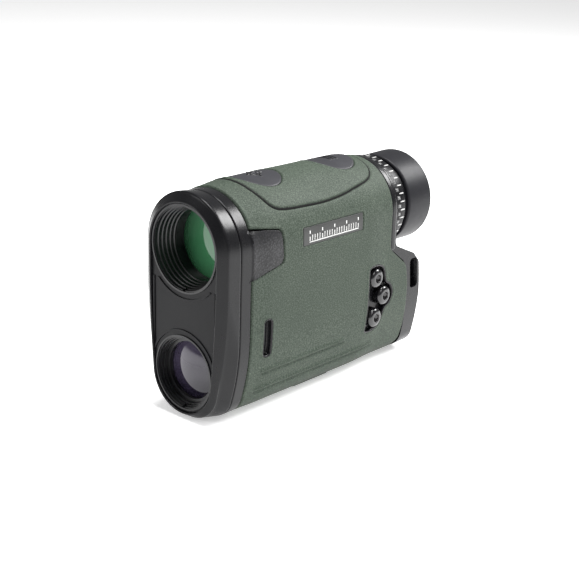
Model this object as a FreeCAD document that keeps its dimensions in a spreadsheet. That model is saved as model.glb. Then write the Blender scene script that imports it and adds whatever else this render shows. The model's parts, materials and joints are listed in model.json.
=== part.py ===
"""Hand-held laser rangefinder: a rubber-armoured monocular with a laser emitter under its objective.

Row frame: +Z up, the objective end at -Y, the eyepiece end at +Y, X across.
The origin is under the middle of the body, on the surface that the rangefinder stands on.
Lengths along the body ("behind the front") and heights ("above the optical axis") are
turned into row coordinates by along() and up(). All sizes are millimetres.
"""
import FreeCAD, Part
import Sketcher as Sketch
import math
import os

Vector = FreeCAD.Vector

DRIVING = {
    # whole object
    "overall_length": 114.3, "axis_height": 59.0, "emitter_drop": 42.9,
    # cross-section of the armour, the black case, the rear frame and the chassis
    "armour_radius": 19.6, "armour_centre": 0.2, "armour_bottom": 57.9,
    "tail_radius": 18.7, "tail_centre": 0.0, "tail_start": 73.0, "tail_end": 88.2,
    "case_radius": 18.9, "case_centre": -0.5, "case_bottom": 58.2,
    "brow_radius": 19.2, "brow_centre": -0.3, "brow_start": 13.0, "brow_end": 23.0,
    "frame_radius": 18.1, "frame_centre": 0.0, "frame_bottom": 57.3,
    "chassis_radius": 17.6, "chassis_centre": 0.0, "chassis_bottom": 55.8,
    "side_start": 28.0, "side_radius": 80.0, "corner_radius": 9.5,
    "chassis_wall": 1.6, "groove": 0.45,
    "frame_side_radius": 105.0, "frame_corner": 8.0,
    # front bezel and face plate
    "window_radius": 15.9, "window_bottom": 57.4, "bezel_chamfer": 2.2, "bezel_length": 8.0,
    "lip_radius": 18.7, "lip_bottom": 58.5, "lip_width": 0.7, "plate_front": 0.9, "plate_back": 3.4,
    # objective and emitter optics
    "ring_radius": 14.9, "objective_lens_radius": 13.2,
    "emitter_ring_radius": 13.1, "emitter_lens_radius": 10.3,
    "notch_width": 1.3,
    # buttons on the top panel
    "button_radius": 9.3, "front_button_at": 33.3, "rear_button_at": 72.3,
    "button_clearance": 0.3, "button_proud": 0.15,
    # badge plates, clip screws and tripod socket
    "badge_front": 37.4, "badge_back": 69.4, "badge_top": 4.0, "badge_foot": 2.3,
    "clip_top_at": 80.2, "clip_rear_at": 85.0, "clip_spread": 7.6, "clip_height": 30.6, "clip_floor": 16.4,
    "head_radius": 3.4, "head_height": 2.2, "screw_radius": 1.95, "screw_length": 5.2,
    "hex_size": 2.5, "insert_radius": 2.7, "insert_bore": 2.0,
    "boss_depth": 1.1, "boss_half_width": 9.5, "boss_middle": 56.0, "boss_half_length": 10.0,
    "socket_radius": 5.0, "socket_bore": 2.6, "socket_length": 9.0, "socket_depth": 8.0,
    # eyepiece
    "tube_radius": 12.6, "tube_bore": 11.0, "cell_radius": 10.9, "eye_lens_radius": 9.6,
    "dial_front": 92.0, "dial_back": 100.3, "dial_radius": 17.5,
    "cup_front": 100.6, "cup_radius": 17.35, "cup_wall_radius": 14.7,
    # battery compartment
    "battery_drop": 37.0, "battery_radius": 7.75, "battery_front": 78.0,
    "holder_bore": 8.1, "holder_radius": 9.3, "cap_radius": 11.4, "cap_face": 109.5,
    "frame_back": 110.4, "frame_chamfer": 1.6,
}


class Size:
    """A length and the spreadsheet expression that it follows."""

    def __init__(self, value, text):
        self.value = value
        self.text = text

    def __add__(self, other):
        other = size(other)
        return Size(self.value + other.value, f"({self.text} + {other.text})")

    def __sub__(self, other):
        other = size(other)
        return Size(self.value - other.value, f"({self.text} - {other.text})")

    def __mul__(self, factor):
        return Size(self.value * factor, f"({self.text} * {factor})")

    def __radd__(self, other):
        return size(other) + self

    def __rsub__(self, other):
        return size(other) - self

    def __neg__(self):
        return self * -1


def size(number):
    """A plain number as a Size; a Size stays as it is."""
    return number if isinstance(number, Size) else Size(float(number), f"({number:.4f})")


doc = FreeCAD.newDocument("laser_rangefinder")
sheet = doc.addObject("Spreadsheet::Sheet", "Sizes")
D = {}
for row, (alias, number) in enumerate(DRIVING.items(), start=1):
    sheet.set(f"A{row}", alias)
    sheet.set(f"B{row}", str(number))
    sheet.setAlias(f"B{row}", alias)
    D[alias] = Size(number, f"Sizes.{alias}")
doc.recompute()

BEHIND = Vector(1, 1, 1)  # a third of a turn about this takes X to Y, Y to Z and Z to X
SKETCH_PLANES = {
    "section": FreeCAD.Rotation(Vector(1, 0, 0), 90),  # sketch x, y are row X, Z
    "side": FreeCAD.Rotation(BEHIND, 120),  # sketch x, y are row Y, Z
    "plan": FreeCAD.Rotation(),  # sketch x, y are row X, Y
}
LATHE_AXES = {
    "along": FreeCAD.Rotation(BEHIND, 120),  # the turned axis is row Y
    "across": FreeCAD.Rotation(),  # the turned axis is row X
    "upright": FreeCAD.Rotation(Vector(0, 1, 0), -90),  # the turned axis is row Z
}
nodes = {}


def along(distance):
    """Row Y of a place this far behind the front."""
    return distance - D["overall_length"] * 0.5


def up(height):
    """Row Z of a place this far above the optical axis."""
    return height + D["axis_height"]


def bind(thing, path, length):
    """Sets a property, or a sketch constraint, and ties it to the spreadsheet."""
    thing.setExpression(path, size(length).text)


def place(thing, x=0, y=0, z=0, rotation=None):
    thing.Placement = FreeCAD.Placement(
        Vector(size(x).value, size(y).value, size(z).value), rotation or FreeCAD.Rotation())
    for path, length in (("x", x), ("y", y), ("z", z)):
        if isinstance(length, Size):
            bind(thing, f"Placement.Base.{path}", length)
    return thing


def node(name, thing):
    """Names a finished sub-part; its shape becomes parts/NAME.step."""
    thing.Label = name
    nodes[name] = thing
    return thing


def pin_point(sketch, geometry, end, x, y):
    """Ties one sketch point to its two coordinates."""
    for kind, length in (("DistanceX", x), ("DistanceY", y)):
        index = sketch.addConstraint(
            Sketch.Constraint(kind, -1, 1, geometry, end, size(length).value))
        bind(sketch, f"Constraints[{index}]", length)


def rounded(before, corner, after, radius):
    """Where an arc of this radius leaves one side of a corner, its middle, and where it joins the other."""
    one = (before - corner).normalize()
    two = (after - corner).normalize()
    half = one.getAngle(two) / 2
    reach = radius / math.tan(half)
    centre = corner + (one + two).normalize() * (radius / math.sin(half))
    return corner + one * reach, centre, corner + two * reach


def draw_polygon(sketch, corners):
    """A closed outline through corners of (x, y) or, where the corner is rounded, (x, y, radius)."""
    points = [Vector(size(c[0]).value, size(c[1]).value, 0) for c in corners]
    radii = [c[2] if len(c) > 2 else None for c in corners]
    count = len(corners)
    bends = []
    for i, radius in enumerate(radii):
        ends = (points[i], None, points[i])
        if radius is not None:
            ends = rounded(points[i - 1], points[i], points[(i + 1) % count], size(radius).value)
        bends.append(ends)
    lines = [sketch.addGeometry(Part.LineSegment(bends[i][2], bends[(i + 1) % count][0]), False)
             for i in range(count)]
    for i, radius in enumerate(radii):
        before, after = lines[i - 1], lines[i]
        if radius is None:
            sketch.addConstraint(Sketch.Constraint("Coincident", before, 2, after, 1))
            pin_point(sketch, after, 1, corners[i][0], corners[i][1])
            continue
        start, centre, stop = bends[i]
        angles = [math.atan2(p.y - centre.y, p.x - centre.x) for p in (start, stop)]
        turn = (points[i] - points[i - 1]).cross(points[(i + 1) % count] - points[i]).z
        ordered = angles if turn > 0 else angles[::-1]
        circle = Part.Circle(centre, Vector(0, 0, 1), size(radius).value)
        arc = sketch.addGeometry(Part.ArcOfCircle(circle, *ordered), False)
        first, last = (1, 2) if turn > 0 else (2, 1)
        sketch.addConstraint(Sketch.Constraint("Tangent", before, 2, arc, first))
        sketch.addConstraint(Sketch.Constraint("Tangent", arc, last, after, 1))
        index = sketch.addConstraint(Sketch.Constraint("Radius", arc, size(radius).value))
        bind(sketch, f"Constraints[{index}]", radius)
        mark = sketch.addGeometry(Part.Point(points[i]), True)
        sketch.addConstraint(Sketch.Constraint("PointOnObject", mark, 1, before))
        sketch.addConstraint(Sketch.Constraint("PointOnObject", mark, 1, after))
        pin_point(sketch, mark, 1, corners[i][0], corners[i][1])


def draw_outline(sketch, radius, centre, bottom, side_start, side_radius, corner_radius):
    """The body's cross-section: a round top, straight sides that curve in, and a flat bottom."""
    r, c, b = size(radius).value, size(up(centre)).value, size(up(-bottom)).value
    s, big, small = size(up(-side_start)).value, size(side_radius).value, size(corner_radius).value
    reach = math.sqrt((big - small) ** 2 - (b + small - s) ** 2)
    inner = reach - (big - r)
    lean = math.atan2(s - b - small, reach)
    normal = Vector(0, 0, 1)

    def arc(x, y, size_, start, stop):
        return Part.ArcOfCircle(Part.Circle(Vector(x, y, 0), normal, size_), start, stop)

    pi = math.pi
    shapes = [
        arc(0, c, r, 0, pi),
        Part.LineSegment(Vector(-r, c, 0), Vector(-r, s, 0)),
        arc(big - r, s, big, pi, pi + lean),
        arc(-inner, b + small, small, pi + lean, 1.5 * pi),
        Part.LineSegment(Vector(-inner, b, 0), Vector(inner, b, 0)),
        arc(inner, b + small, small, 1.5 * pi, 2 * pi - lean),
        arc(r - big, s, big, 2 * pi - lean, 2 * pi),
        Part.LineSegment(Vector(r, s, 0), Vector(r, c, 0)),
    ]
    top, left, left_side, left_corner, base, right_corner, right_side, right = (
        sketch.addGeometry(shape, False) for shape in shapes)
    chain = [top, left, left_side, left_corner, base, right_corner, right_side, right, top]
    for one, two in zip(chain, chain[1:]):
        sketch.addConstraint(Sketch.Constraint("Tangent", one, 2, two, 1))
    sketch.addConstraint(Sketch.Constraint("PointOnObject", top, 3, -2))
    sketch.addConstraint(Sketch.Constraint("Vertical", left))
    sketch.addConstraint(Sketch.Constraint("Vertical", right))
    sketch.addConstraint(Sketch.Constraint("Horizontal", base))
    for geometry, end, length in ((top, 3, up(centre)), (left, 2, up(-side_start)),
                                  (right, 1, up(-side_start)), (base, 1, up(-bottom))):
        index = sketch.addConstraint(
            Sketch.Constraint("DistanceY", -1, 1, geometry, end, size(length).value))
        bind(sketch, f"Constraints[{index}]", length)
    for geometry, length in ((top, radius), (left_side, side_radius), (right_side, side_radius),
                             (left_corner, corner_radius), (right_corner, corner_radius)):
        index = sketch.addConstraint(Sketch.Constraint("Radius", geometry, size(length).value))
        bind(sketch, f"Constraints[{index}]", length)


def free_sketch(name, plane, x=0, y=0, z=0):
    sketch = doc.addObject("Sketcher::SketchObject", name)
    return place(sketch, x, y, z, SKETCH_PLANES[plane])


def extrusion(name, sketch, direction, length, symmetric=False):
    """A sketch carried a length along a row direction."""
    solid = doc.addObject("Part::Extrusion", name)
    solid.Base = sketch
    solid.DirMode = "Custom"
    solid.Dir = Vector(*direction)
    solid.Symmetric = symmetric
    solid.Solid = True
    bind(solid, "LengthFwd", length)
    return solid


WIDE = size(60.0)  # wider than the body, for cutters that pass right through it


def side_slab(name, corners, width=WIDE, x=0):
    """A side-view outline of (behind the front, above the axis) carried across the body."""
    sketch = free_sketch(name + "_sketch", "side", x=x)
    draw_polygon(sketch, [(along(size(c[0])), up(size(c[1])), *c[2:]) for c in corners])
    return extrusion(name, sketch, (1, 0, 0), width, symmetric=True)


def plan_slab(name, corners, low, height):
    """A plan-view outline of (across, behind the front) carried upwards."""
    sketch = free_sketch(name + "_sketch", "plan", z=up(size(low)))
    draw_polygon(sketch, [(size(c[0]), along(size(c[1])), *c[2:]) for c in corners])
    return extrusion(name, sketch, (0, 0, 1), height)


def outline_sketch(name, at, radius, centre, bottom, side_start=None, side_radius=None,
                   corner_radius=None):
    sketch = free_sketch(name, "section", y=along(size(at)))
    draw_outline(sketch, radius, centre, bottom, side_start or D["side_start"],
                 side_radius or D["side_radius"], corner_radius or D["corner_radius"])
    return sketch


def outline_bar(name, start, stop, *outline):
    """The cross-section carried from one distance behind the front to another."""
    sketch = outline_sketch(name + "_sketch", start, *outline)
    return extrusion(name, sketch, (0, 1, 0), size(stop) - size(start))


def loft(name, sections):
    """Straight-sided skin through cross-sections."""
    solid = doc.addObject("Part::Loft", name)
    solid.Sections = sections
    solid.Solid = True
    solid.Ruled = True
    return solid


def block(name, across, behind, height):
    """A box given by its low and high ends in each direction."""
    solid = doc.addObject("Part::Box", name)
    for prop, (low, high) in (("Length", across), ("Width", behind), ("Height", height)):
        bind(solid, prop, size(high) - size(low))
    return place(solid, size(across[0]), along(size(behind[0])), up(size(height[0])))


def rod(name, radius, start, stop, axis="along", across=0, behind=0, height=0):
    """A cylinder from start to stop along its axis."""
    solid = doc.addObject("Part::Cylinder", name)
    bind(solid, "Radius", radius)
    bind(solid, "Height", size(stop) - size(start))
    if axis == "along":
        return place(solid, across, along(size(start)), up(size(height)),
                     FreeCAD.Rotation(Vector(1, 0, 0), -90))
    if axis == "across":
        return place(solid, size(start), along(size(behind)), up(size(height)),
                     FreeCAD.Rotation(Vector(0, 1, 0), 90))
    return place(solid, across, along(size(behind)), up(size(start)))


def turned(name, profile, axis="along", across=0, behind=0, height=0):
    """A PartDesign body turned from a profile of (along the axis, radius)."""
    body = doc.addObject("PartDesign::Body", name)
    sketch = body.newObject("Sketcher::SketchObject", name + "_profile")
    plane = next(f for f in body.Origin.OriginFeatures if f.Role == "XY_Plane")
    sketch.AttachmentSupport = [(plane, "")]
    sketch.MapMode = "FlatFace"
    draw_polygon(sketch, profile)
    spin = body.newObject("PartDesign::Revolution", name + "_turn")
    spin.Profile = sketch
    spin.ReferenceAxis = (sketch, ["H_Axis"])
    spin.Angle = 360
    body.Tip = spin
    return place(body, across, along(size(behind)), up(size(height)), LATHE_AXES[axis])


def cut(name, base, *tools):
    """The base without its tools."""
    solid = doc.addObject("Part::Cut", name)
    solid.Base = base
    solid.Tool = tools[0] if len(tools) == 1 else together(name + "_tools", *tools)
    return solid


def together(name, *things):
    solid = doc.addObject("Part::MultiFuse", name)
    solid.Shapes = list(things)
    return solid


def shared(name, one, two):
    solid = doc.addObject("Part::MultiCommon", name)
    solid.Shapes = [one, two]
    return solid


def lens(name, radius, front, back, front_curve=None, back_curve=None, height=0):
    """A round lens: its edge runs from front to back; a positive curve bulges, a negative one is hollow."""
    reach = size(radius).value
    sag = {}
    for side, curve in (("front", front_curve), ("back", back_curve)):
        depth = abs(curve) - math.sqrt(curve ** 2 - reach ** 2) if curve else 0
        sag[side] = math.copysign(depth, curve or 1)
    solid = rod(name + "_blank", radius, size(front) - max(sag["front"], 0),
                size(back) + max(sag["back"], 0), height=height)
    for side, curve, towards, edge in (("front", front_curve, 1, front), ("back", back_curve, -1, back)):
        if not curve:
            continue
        ball = doc.addObject("Part::Sphere", f"{name}_{side}_ball")
        ball.Radius = abs(curve)
        apex = size(edge) - towards * sag[side]
        place(ball, 0, along(apex + towards * curve), up(size(height)))
        solid = (shared if curve > 0 else cut)(f"{name}_{side}", solid, ball)
    return solid


EMITTER = -D["emitter_drop"]
BATTERY = -D["battery_drop"]
BOTH_SIDES = (("right", 1), ("left", -1))


def chassis_bar(name, start, stop, inset=0):
    radius = D["chassis_radius"] - inset
    return outline_bar(name, start, stop, radius, D["chassis_centre"], D["chassis_bottom"] - inset)


def armour_skin(name, grow=0):
    """The armour's outer surface as a solid bar, which narrows towards the eyepiece."""
    sections = []
    stations = ((D["brow_start"], "brow"), (D["brow_end"], "armour"), (D["tail_start"], "armour"),
                (D["tail_end"], "tail"), (104.0, "tail"))
    for i, (at, part) in enumerate(stations):
        sections.append(outline_sketch(f"{name}_{i}", at, D[part + "_radius"] + grow,
                                       D[part + "_centre"], D["armour_bottom"] + grow))
    return loft(name, sections)


def panel_outline(name, grow=0):
    """The plan of the top panel, as a cutter."""
    corners = [(-15.4 - grow, 21.8 - grow, 5.0), (15.4 + grow, 21.8 - grow, 5.0), (16.9 + grow, 51.0),
               (14.0 + grow, 84.0 + grow, 6.0), (-14.0 - grow, 84.0 + grow, 6.0), (-16.9 - grow, 51.0)]
    return plan_slab(name, corners, 2.0, 25.0)


def tab_outline(name, grow=0):
    """The side view of the collar's rearward tabs, as a cutter."""
    g = grow
    return side_slab(name, [(7.0, 8.4 + g), (12.5, 8.4 + g), (26.6 + g, 5.8 + g, 2.2),
                            (28.0 + g, -5.6 - g, 2.6), (15.0, -9.0 - g), (7.0, -9.0 - g)])


def clip_outline(name, grow=0):
    """The side view of the pocket for the belt clip, as a cutter that reaches in from the right."""
    g = grow
    return side_slab(name, [(75.2 - g, -18.6 + g, 3.4), (82.6 + g, -18.6 + g, 6.0), (91.2 + g, -30.8, 5.0),
                            (82.6 + g, -43.0 - g, 6.0), (75.2 - g, -43.0 - g, 3.4)],
                     size(6.0), D["clip_floor"] + 3.0)


def make_front():
    """Bezel, face plate and the black collar with its two tabs."""
    oval = {"side_start": size(5.0), "side_radius": size(400.0)}
    front = outline_sketch("bezel_front", 0, D["window_radius"], 0, D["window_bottom"],
                           corner_radius=size(13.8), **oval)
    lip = outline_sketch("bezel_lip", D["bezel_chamfer"], D["lip_radius"], 0.1, D["lip_bottom"],
                         size(12.0), size(160.0), size(12.5))
    edge = outline_sketch("bezel_edge", 5.0, D["case_radius"] - 0.3, D["case_centre"] - 0.2,
                          D["case_bottom"] + 0.2, size(20.0), size(110.0), size(11.0))
    back = outline_sketch("bezel_back", D["bezel_length"] - 0.15, D["case_radius"],
                          D["case_centre"], D["case_bottom"])
    window = {"corner_radius": size(13.1), **oval}
    opening = extrusion("bezel_opening", outline_sketch(
        "opening_sketch", -1, D["window_radius"] - D["lip_width"], 0,
        D["window_bottom"] - D["lip_width"], **window), (0, 1, 0), size(10.0))
    node("front_bezel", cut("bezel", loft("bezel_skin", [front, lip, edge, back]), opening))

    blank = extrusion("plate_blank", outline_sketch(
        "plate_sketch", D["plate_front"], D["window_radius"] - D["lip_width"] - 0.02, 0,
        D["window_bottom"] - D["lip_width"] - 0.02, **window), (0, 1, 0),
        D["plate_back"] - D["plate_front"])
    ridge = block("ridge_blank", (-14.4, 14.4), (0.55, 1.2), (-42.0, -12.0))
    pocket = block("ridge_pocket", (-13.8, 13.8), (0.0, 0.9), (-43.0, -11.0))
    ring_out = cut("ridge_out", ridge, rod("ridge_top", 16.7, -1, 4),
                   rod("ridge_low", 14.5, -1, 4, height=EMITTER))
    ring_in = cut("ridge_in", pocket, rod("pocket_top", 17.3, -1, 4),
                  rod("pocket_low", 15.1, -1, 4, height=EMITTER))
    framed = cut("ridge", ring_out, ring_in)
    fitted = shared("ridge_fitted", framed, opening)
    plate = cut("plate", together("plate_raised", blank, fitted),
                rod("plate_objective", D["ring_radius"] + 0.02, -1, 9),
                rod("plate_emitter", D["emitter_ring_radius"] + 0.02, -1, 9, height=EMITTER))
    node("face_plate", plate)

    collar = outline_bar("collar_ring", D["bezel_length"], 13.0, D["case_radius"], D["case_centre"],
                         D["case_bottom"])
    tabs = shared("tabs", outline_bar("tab_bar", 12.5, 29.0, D["case_radius"] + 0.1, D["case_centre"],
                                      D["case_bottom"]), tab_outline("tab_shape"))
    node("front_collar", cut("collar", together("collar_blank", collar, tabs),
                             chassis_bar("collar_bore", 7.0, 30.0)))


def make_chassis():
    """Two moulded halves, split along the middle, with ledges for the boards and bosses for screws."""
    wall = D["chassis_wall"]
    hull = chassis_bar("hull", D["bezel_length"], 88.0)
    hollow = chassis_bar("hollow", D["bezel_length"] + wall, 88.0 - wall, wall)
    shell = cut("shell", hull, hollow)
    ledges = [block(f"ledge_{i}", (-18, 18), behind, height) for i, (behind, height) in
              enumerate((((26.0, 76.0), (7.6, 8.8)), ((24.0, 72.0), (-20.7, -19.5))))]
    channel = [block("upper_channel", (-11.6, 11.6), (25.0, 81.0), (7.0, 9.0)),
               block("lower_channel", (-13.6, 13.6), (23.0, 73.0), (-21.0, -19.0))]
    ledge_pairs = cut("ledge_pairs", together("ledges", *ledges), *channel)
    bosses = [rod(f"clip_boss_{i}", 4.3, 11.6, 17.0, "across", 0, behind, height)
              for i, (behind, height) in enumerate(clip_places())]
    bosses.append(rod("socket_boss", 7.2, -55.0, -47.6, "upright", 0, D["boss_middle"]))
    for i, (behind, height) in enumerate(CASE_SCREWS):
        bosses.append(rod(f"case_boss_{i}", 3.2, -17.0, 17.0, "across", 0, behind, height))
    added = shared("inside_parts", together("inside", ledge_pairs, *bosses), chassis_bar("inside_hull", 9, 87))
    holes = [rod("objective_hole", D["ring_radius"] + 0.02, 7, 10.5),
             rod("emitter_hole", 11.62, 7, 11.0, height=EMITTER),
             rod("eye_hole", D["tube_radius"] + 0.02, 85, 90),
             rod("battery_hole", D["holder_radius"] + 0.02, 85, 90, height=BATTERY),
             rod("socket_hole", D["socket_radius"] + 0.02, -60.0, -49.4, "upright", 0, D["boss_middle"]),
             clip_outline("clip_floor")]
    for name in ("front", "rear"):
        holes.append(rod(f"{name}_stem_hole", 1.8, 10.0, 20.0, "upright", 0, D[name + "_button_at"]))
    for i, (behind, height) in enumerate(clip_places()):
        holes.append(rod(f"insert_hole_{i}", D["insert_radius"] + 0.02, 11.0, 19.0, "across", 0,
                         behind, height))
    for i, (behind, height) in enumerate(CASE_SCREWS):
        holes.append(rod(f"case_hole_{i}", 1.12, -18.0, 12.6, "across", 0, behind, height))
        holes.append(rod(f"case_head_hole_{i}", 2.32, -20.0, -13.0, "across", 0, behind, height))
    tub = cut("tub", together("tub_blank", shell, added), *holes)
    for side, sign in BOTH_SIDES:
        half = block(f"{side}_half", (0, 30) if sign > 0 else (-30, 0), (0, 100), (-70, 30))
        node(f"chassis_{side}", shared(f"chassis_{side}_body", tub, half))
    for i, (behind, height) in enumerate(CASE_SCREWS):
        screw = turned(f"case_screw_{i}", [(-14.6, 0), (-14.6, 2.2), (-13.0, 2.2), (-13.0, 1.1),
                                           (12.0, 1.1), (12.0, 0)], "across", behind=behind, height=height)
        node(f"case_screw_{i + 1}", screw)


CASE_SCREWS = ((21.5, -24.0), (62.0, -30.0), (47.0, -43.0), (71.5, -45.0))


def clip_places():
    """Where the belt clip's screws go: two in front, one behind."""
    middle, spread = -D["clip_height"], D["clip_spread"]
    return ((D["clip_top_at"], middle + spread), (D["clip_rear_at"], middle),
            (D["clip_top_at"], middle - spread))


def make_armour():
    """Rubber armour with its ribs and boss, the separate top panel and the badge plates."""
    skin = armour_skin("skin")
    step = armour_edge("armour_edge")
    ribs = shared("ribs", armour_skin("rib_skin", 0.45), together(
        "rib_lines", side_slab("rib_upper", [(18.8, -41.9), (64.0, -41.9), (64.0, -42.9), (18.8, -42.9)]),
        side_slab("rib_lower", [(17.0, -48.5), (83.0, -48.5), (83.0, -49.5), (17.0, -49.5)])))
    boss_half, boss_reach = D["boss_half_width"], D["boss_half_length"]
    front, back = D["boss_middle"] - boss_reach, D["boss_middle"] + boss_reach
    boss = plan_slab("boss", [(-boss_half, front, 3.0), (boss_half, front, 3.0), (boss_half, back, 3.0),
                              (-boss_half, back, 3.0)], -D["armour_bottom"] - D["boss_depth"], 3.0)
    blank = together("armour_blank", shared("armour_trim", skin, step), ribs, boss)
    slots = side_slab("side_slot", [(19.0, -24.3, 1.85), (22.8, -24.3, 1.85), (22.8, -37.1, 1.85),
                                    (19.0, -37.1, 1.85)])
    badge = side_slab("badge_pocket", badge_corners(0.05))
    badge_floor = armour_skin("badge_floor", -0.6)
    badge_cut = cut("badge_cut", badge, badge_floor)
    eye_clear = rod("armour_eye", D["frame_radius"] + 0.02, D["tail_end"], 110)
    socket = rod("armour_socket", D["socket_radius"] + 0.02, -60.0, -50.0, "upright", 0, D["boss_middle"])
    node("armour", cut("armour_body", blank, chassis_bar("armour_bore", 5, 120),
                       panel_outline("panel_opening", D["groove"].value), tab_outline("tab_opening", 0.3),
                       slots, badge_cut, clip_outline("clip_opening"), eye_clear, socket))
    wells = [rod(f"{name}_well", D["button_radius"] + D["button_clearance"], 5.0, 25.0, "upright", 0,
                 D[name + "_button_at"]) for name in ("front", "rear")]
    node("top_panel", cut("top_panel_body", shared("panel_blank", skin, panel_outline("panel_shape")),
                          chassis_bar("panel_bore", 10, 95), *wells))
    plate = cut("badge_plates", shared("badge_blank", armour_skin("badge_skin", -0.05),
                                       side_slab("badge_shape", badge_corners())),
                armour_skin("badge_back", -0.6))
    for side, sign in BOTH_SIDES:
        half = block(f"badge_{side}_half", (0, 30) if sign > 0 else (-30, 0), (30, 80), (-10, 15))
        node(f"badge_{side}", shared(f"badge_{side}_body", plate, half))


def armour_edge(name, grow=0):
    """The armour's side view, which reaches further back under the eyepiece, as a cutter."""
    g = grow
    return side_slab(name, [(13.0, 30.0), (88.2 + g, 30.0), (88.3 + g, -13.4 + g, 2.0),
                            (97.7 + g, -20.2 + g, 3.0), (100.1 + g, -29.6), (101.5 + g, -46.8),
                            (101.8 + g, -60.0, 6.0), (13.0, -60.0)])


def badge_corners(grow=0):
    front, back = D["badge_front"] - grow, D["badge_back"] + grow
    top, foot = D["badge_top"] + grow, -D["badge_foot"] - grow
    return [(front, top, 0.6), (back, top, 0.6), (back, foot, 0.6), (front, foot, 0.6)]


def make_buttons():
    """Two pads that follow the top's curve, each with a stem over a switch on the upper board."""
    for name in ("front", "rear"):
        at = D[name + "_button_at"]
        pad = shared(f"{name}_pad", armour_skin(f"{name}_pad_skin", D["button_proud"].value),
                     rod(f"{name}_pad_rim", D["button_radius"], 5.0, 25.0, "upright", 0, at))
        under = outline_bar(f"{name}_under", at - 12, at + 12, D["chassis_radius"] + 0.9,
                            D["chassis_centre"] + 0.1, D["chassis_bottom"])
        stem = rod(f"{name}_stem", 1.7, 13.6, 19.4, "upright", 0, at)
        node(f"{name}_button", together(f"{name}_button_body",
                                        cut(f"{name}_pad_shell", pad, under), stem))
        base = block(f"{name}_switch_base", (-3, 3), (at - 3, at + 3), (9.8, 12.4))
        node(f"{name}_switch", together(f"{name}_switch_body", base,
                                        rod(f"{name}_plunger", 1.6, 12.0, 12.85, "upright", 0, at)))
    node("button_board", block("upper_board", (-12.4, 12.4), (26.5, 75.8), (8.8, 9.8)))


def notched(name, base, inner, outer, front, height=0):
    """A baffle with a spanner notch at its top and one at its bottom."""
    half = D["notch_width"] * 0.5
    notches = [block(f"{name}_notch_{i}", (-half, half), (front - 0.5, front + 1.8), band) for i, band in
               enumerate(((height + size(inner), height + size(outer)),
                          (height - size(outer), height - size(inner))))]
    return cut(name, base, *notches)


def make_optics():
    """Objective doublet, prism pair, display and the laser emitter below."""
    ring = D["ring_radius"]
    node("objective_cell", turned("objective_cell_body", [
        (0.5, 14.3), (0.5, ring), (20.0, ring), (20.0, 12.2), (18.6, 12.2), (18.6, 13.25),
        (12.9, 13.25), (12.9, 14.3)]))
    steps = [(0.9 + i * 1.5, 13.95 - i * 0.33) for i in range(6)]
    profile = [(0.9, 14.28)]
    for (at, radius), (following, _) in zip(steps, steps[1:] + [(12.9, 0)]):
        profile += [(at, radius), (following - 0.25, radius), (following - 0.25, radius + 0.15)][:2]
    profile.append((12.9, 14.28))
    baffle = turned("objective_steps", [profile[0], *drop_repeats(profile[1:-1]), profile[-1]])
    node("objective_baffle", notched("objective_baffle_body", baffle, 13.2, 15.0, 0.9, size(0)))
    node("objective_crown", lens("crown", D["objective_lens_radius"], 12.95, 16.2, 60.0))
    node("objective_flint", lens("flint", D["objective_lens_radius"], 16.22, 18.58, None, -90.0))

    outer = D["emitter_ring_radius"]
    node("emitter_cell", turned("emitter_cell_body", [
        (0.5, 12.6), (0.5, outer), (D["plate_back"], outer), (D["plate_back"], 12.9), (6.0, 12.9),
        (6.0, 11.6), (10.8, 11.6), (10.8, 9.0), (9.4, 9.0), (9.4, 10.4), (5.6, 10.4), (5.6, 11.6),
        (3.6, 11.6), (3.6, 12.6)], height=EMITTER))
    rings = turned("emitter_steps", [
        (0.9, 12.58), (0.9, 12.2), (2.0, 12.2), (2.0, 11.75), (3.0, 11.75), (3.0, 11.25), (4.1, 11.25),
        (4.1, 10.1), (5.4, 10.1), (5.4, 11.58), (3.6, 11.58), (3.6, 12.58)], height=EMITTER)
    node("emitter_baffle", notched("emitter_baffle_body", rings, 11.6, 13.0, 0.9, EMITTER))
    node("emitter_lens", lens("collimator", D["emitter_lens_radius"] + 0.05, 5.62, 9.38, 28.0,
                              height=EMITTER))
    node("emitter_barrel", turned("emitter_barrel_body", [
        (10.8, 9.2), (10.8, 10.8), (14.0, 10.8), (36.0, 6.5), (40.0, 6.5), (40.0, 4.62), (35.0, 4.62),
        (14.0, 9.2)], height=EMITTER))
    node("laser_diode", turned("laser_diode_body", [
        (35.2, 0), (35.2, 2.6), (38.2, 2.6), (38.2, 4.6), (40.0, 4.6), (40.0, 0)], height=EMITTER))
    node("emitter_board", block("emitter_board_body", (-9, 9), (40.0, 41.4), (EMITTER - 8, EMITTER + 8)))

    box = block("prism_box", (-9.5, 9.5), (44.0, 68.0), (-18.3, 7.4))
    room = block("prism_room", (-8.3, 8.3), (45.2, 66.8), (-30.0, 6.2))
    node("prism_holder", cut("prism_holder_body", box, room, rod("prism_windows", 6.4, 40.0, 70.0),
                             block("prism_sides", (-12, 12), (48.0, 64.0), (-30.0, -9.0))))
    wedge = [(45.2, 6.2), (53.0, 6.2), (58.5, -7.6), (45.2, -7.6)]
    other = [(53.6, 6.2), (66.8, 6.2), (66.8, -7.6), (59.1, -7.6)]
    for name, corners in (("front_prism", wedge), ("rear_prism", other)):
        node(name, side_slab(name + "_body", corners, size(16.6)))
    node("main_board", block("lower_board", (-15.0, 15.0), (24.5, 71.5), (-19.5, -18.3)))
    node("receiver", turned("receiver_body", [(0, 0), (0, 4.1), (4.6, 4.1), (4.6, 3.2), (6.0, 3.2), (6.0, 0)],
                            "upright", behind=36.0, height=-18.3))
    node("processor", block("processor_body", (-6.5, 6.5), (50.0, 63.0), (-18.3, -16.7)))


def drop_repeats(points):
    """The points without any that repeat the one before."""
    kept = []
    for point in points:
        if not kept or abs(point[0] - kept[-1][0]) + abs(point[1] - kept[-1][1]) > 0.01:
            kept.append(point)
    return kept


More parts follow.
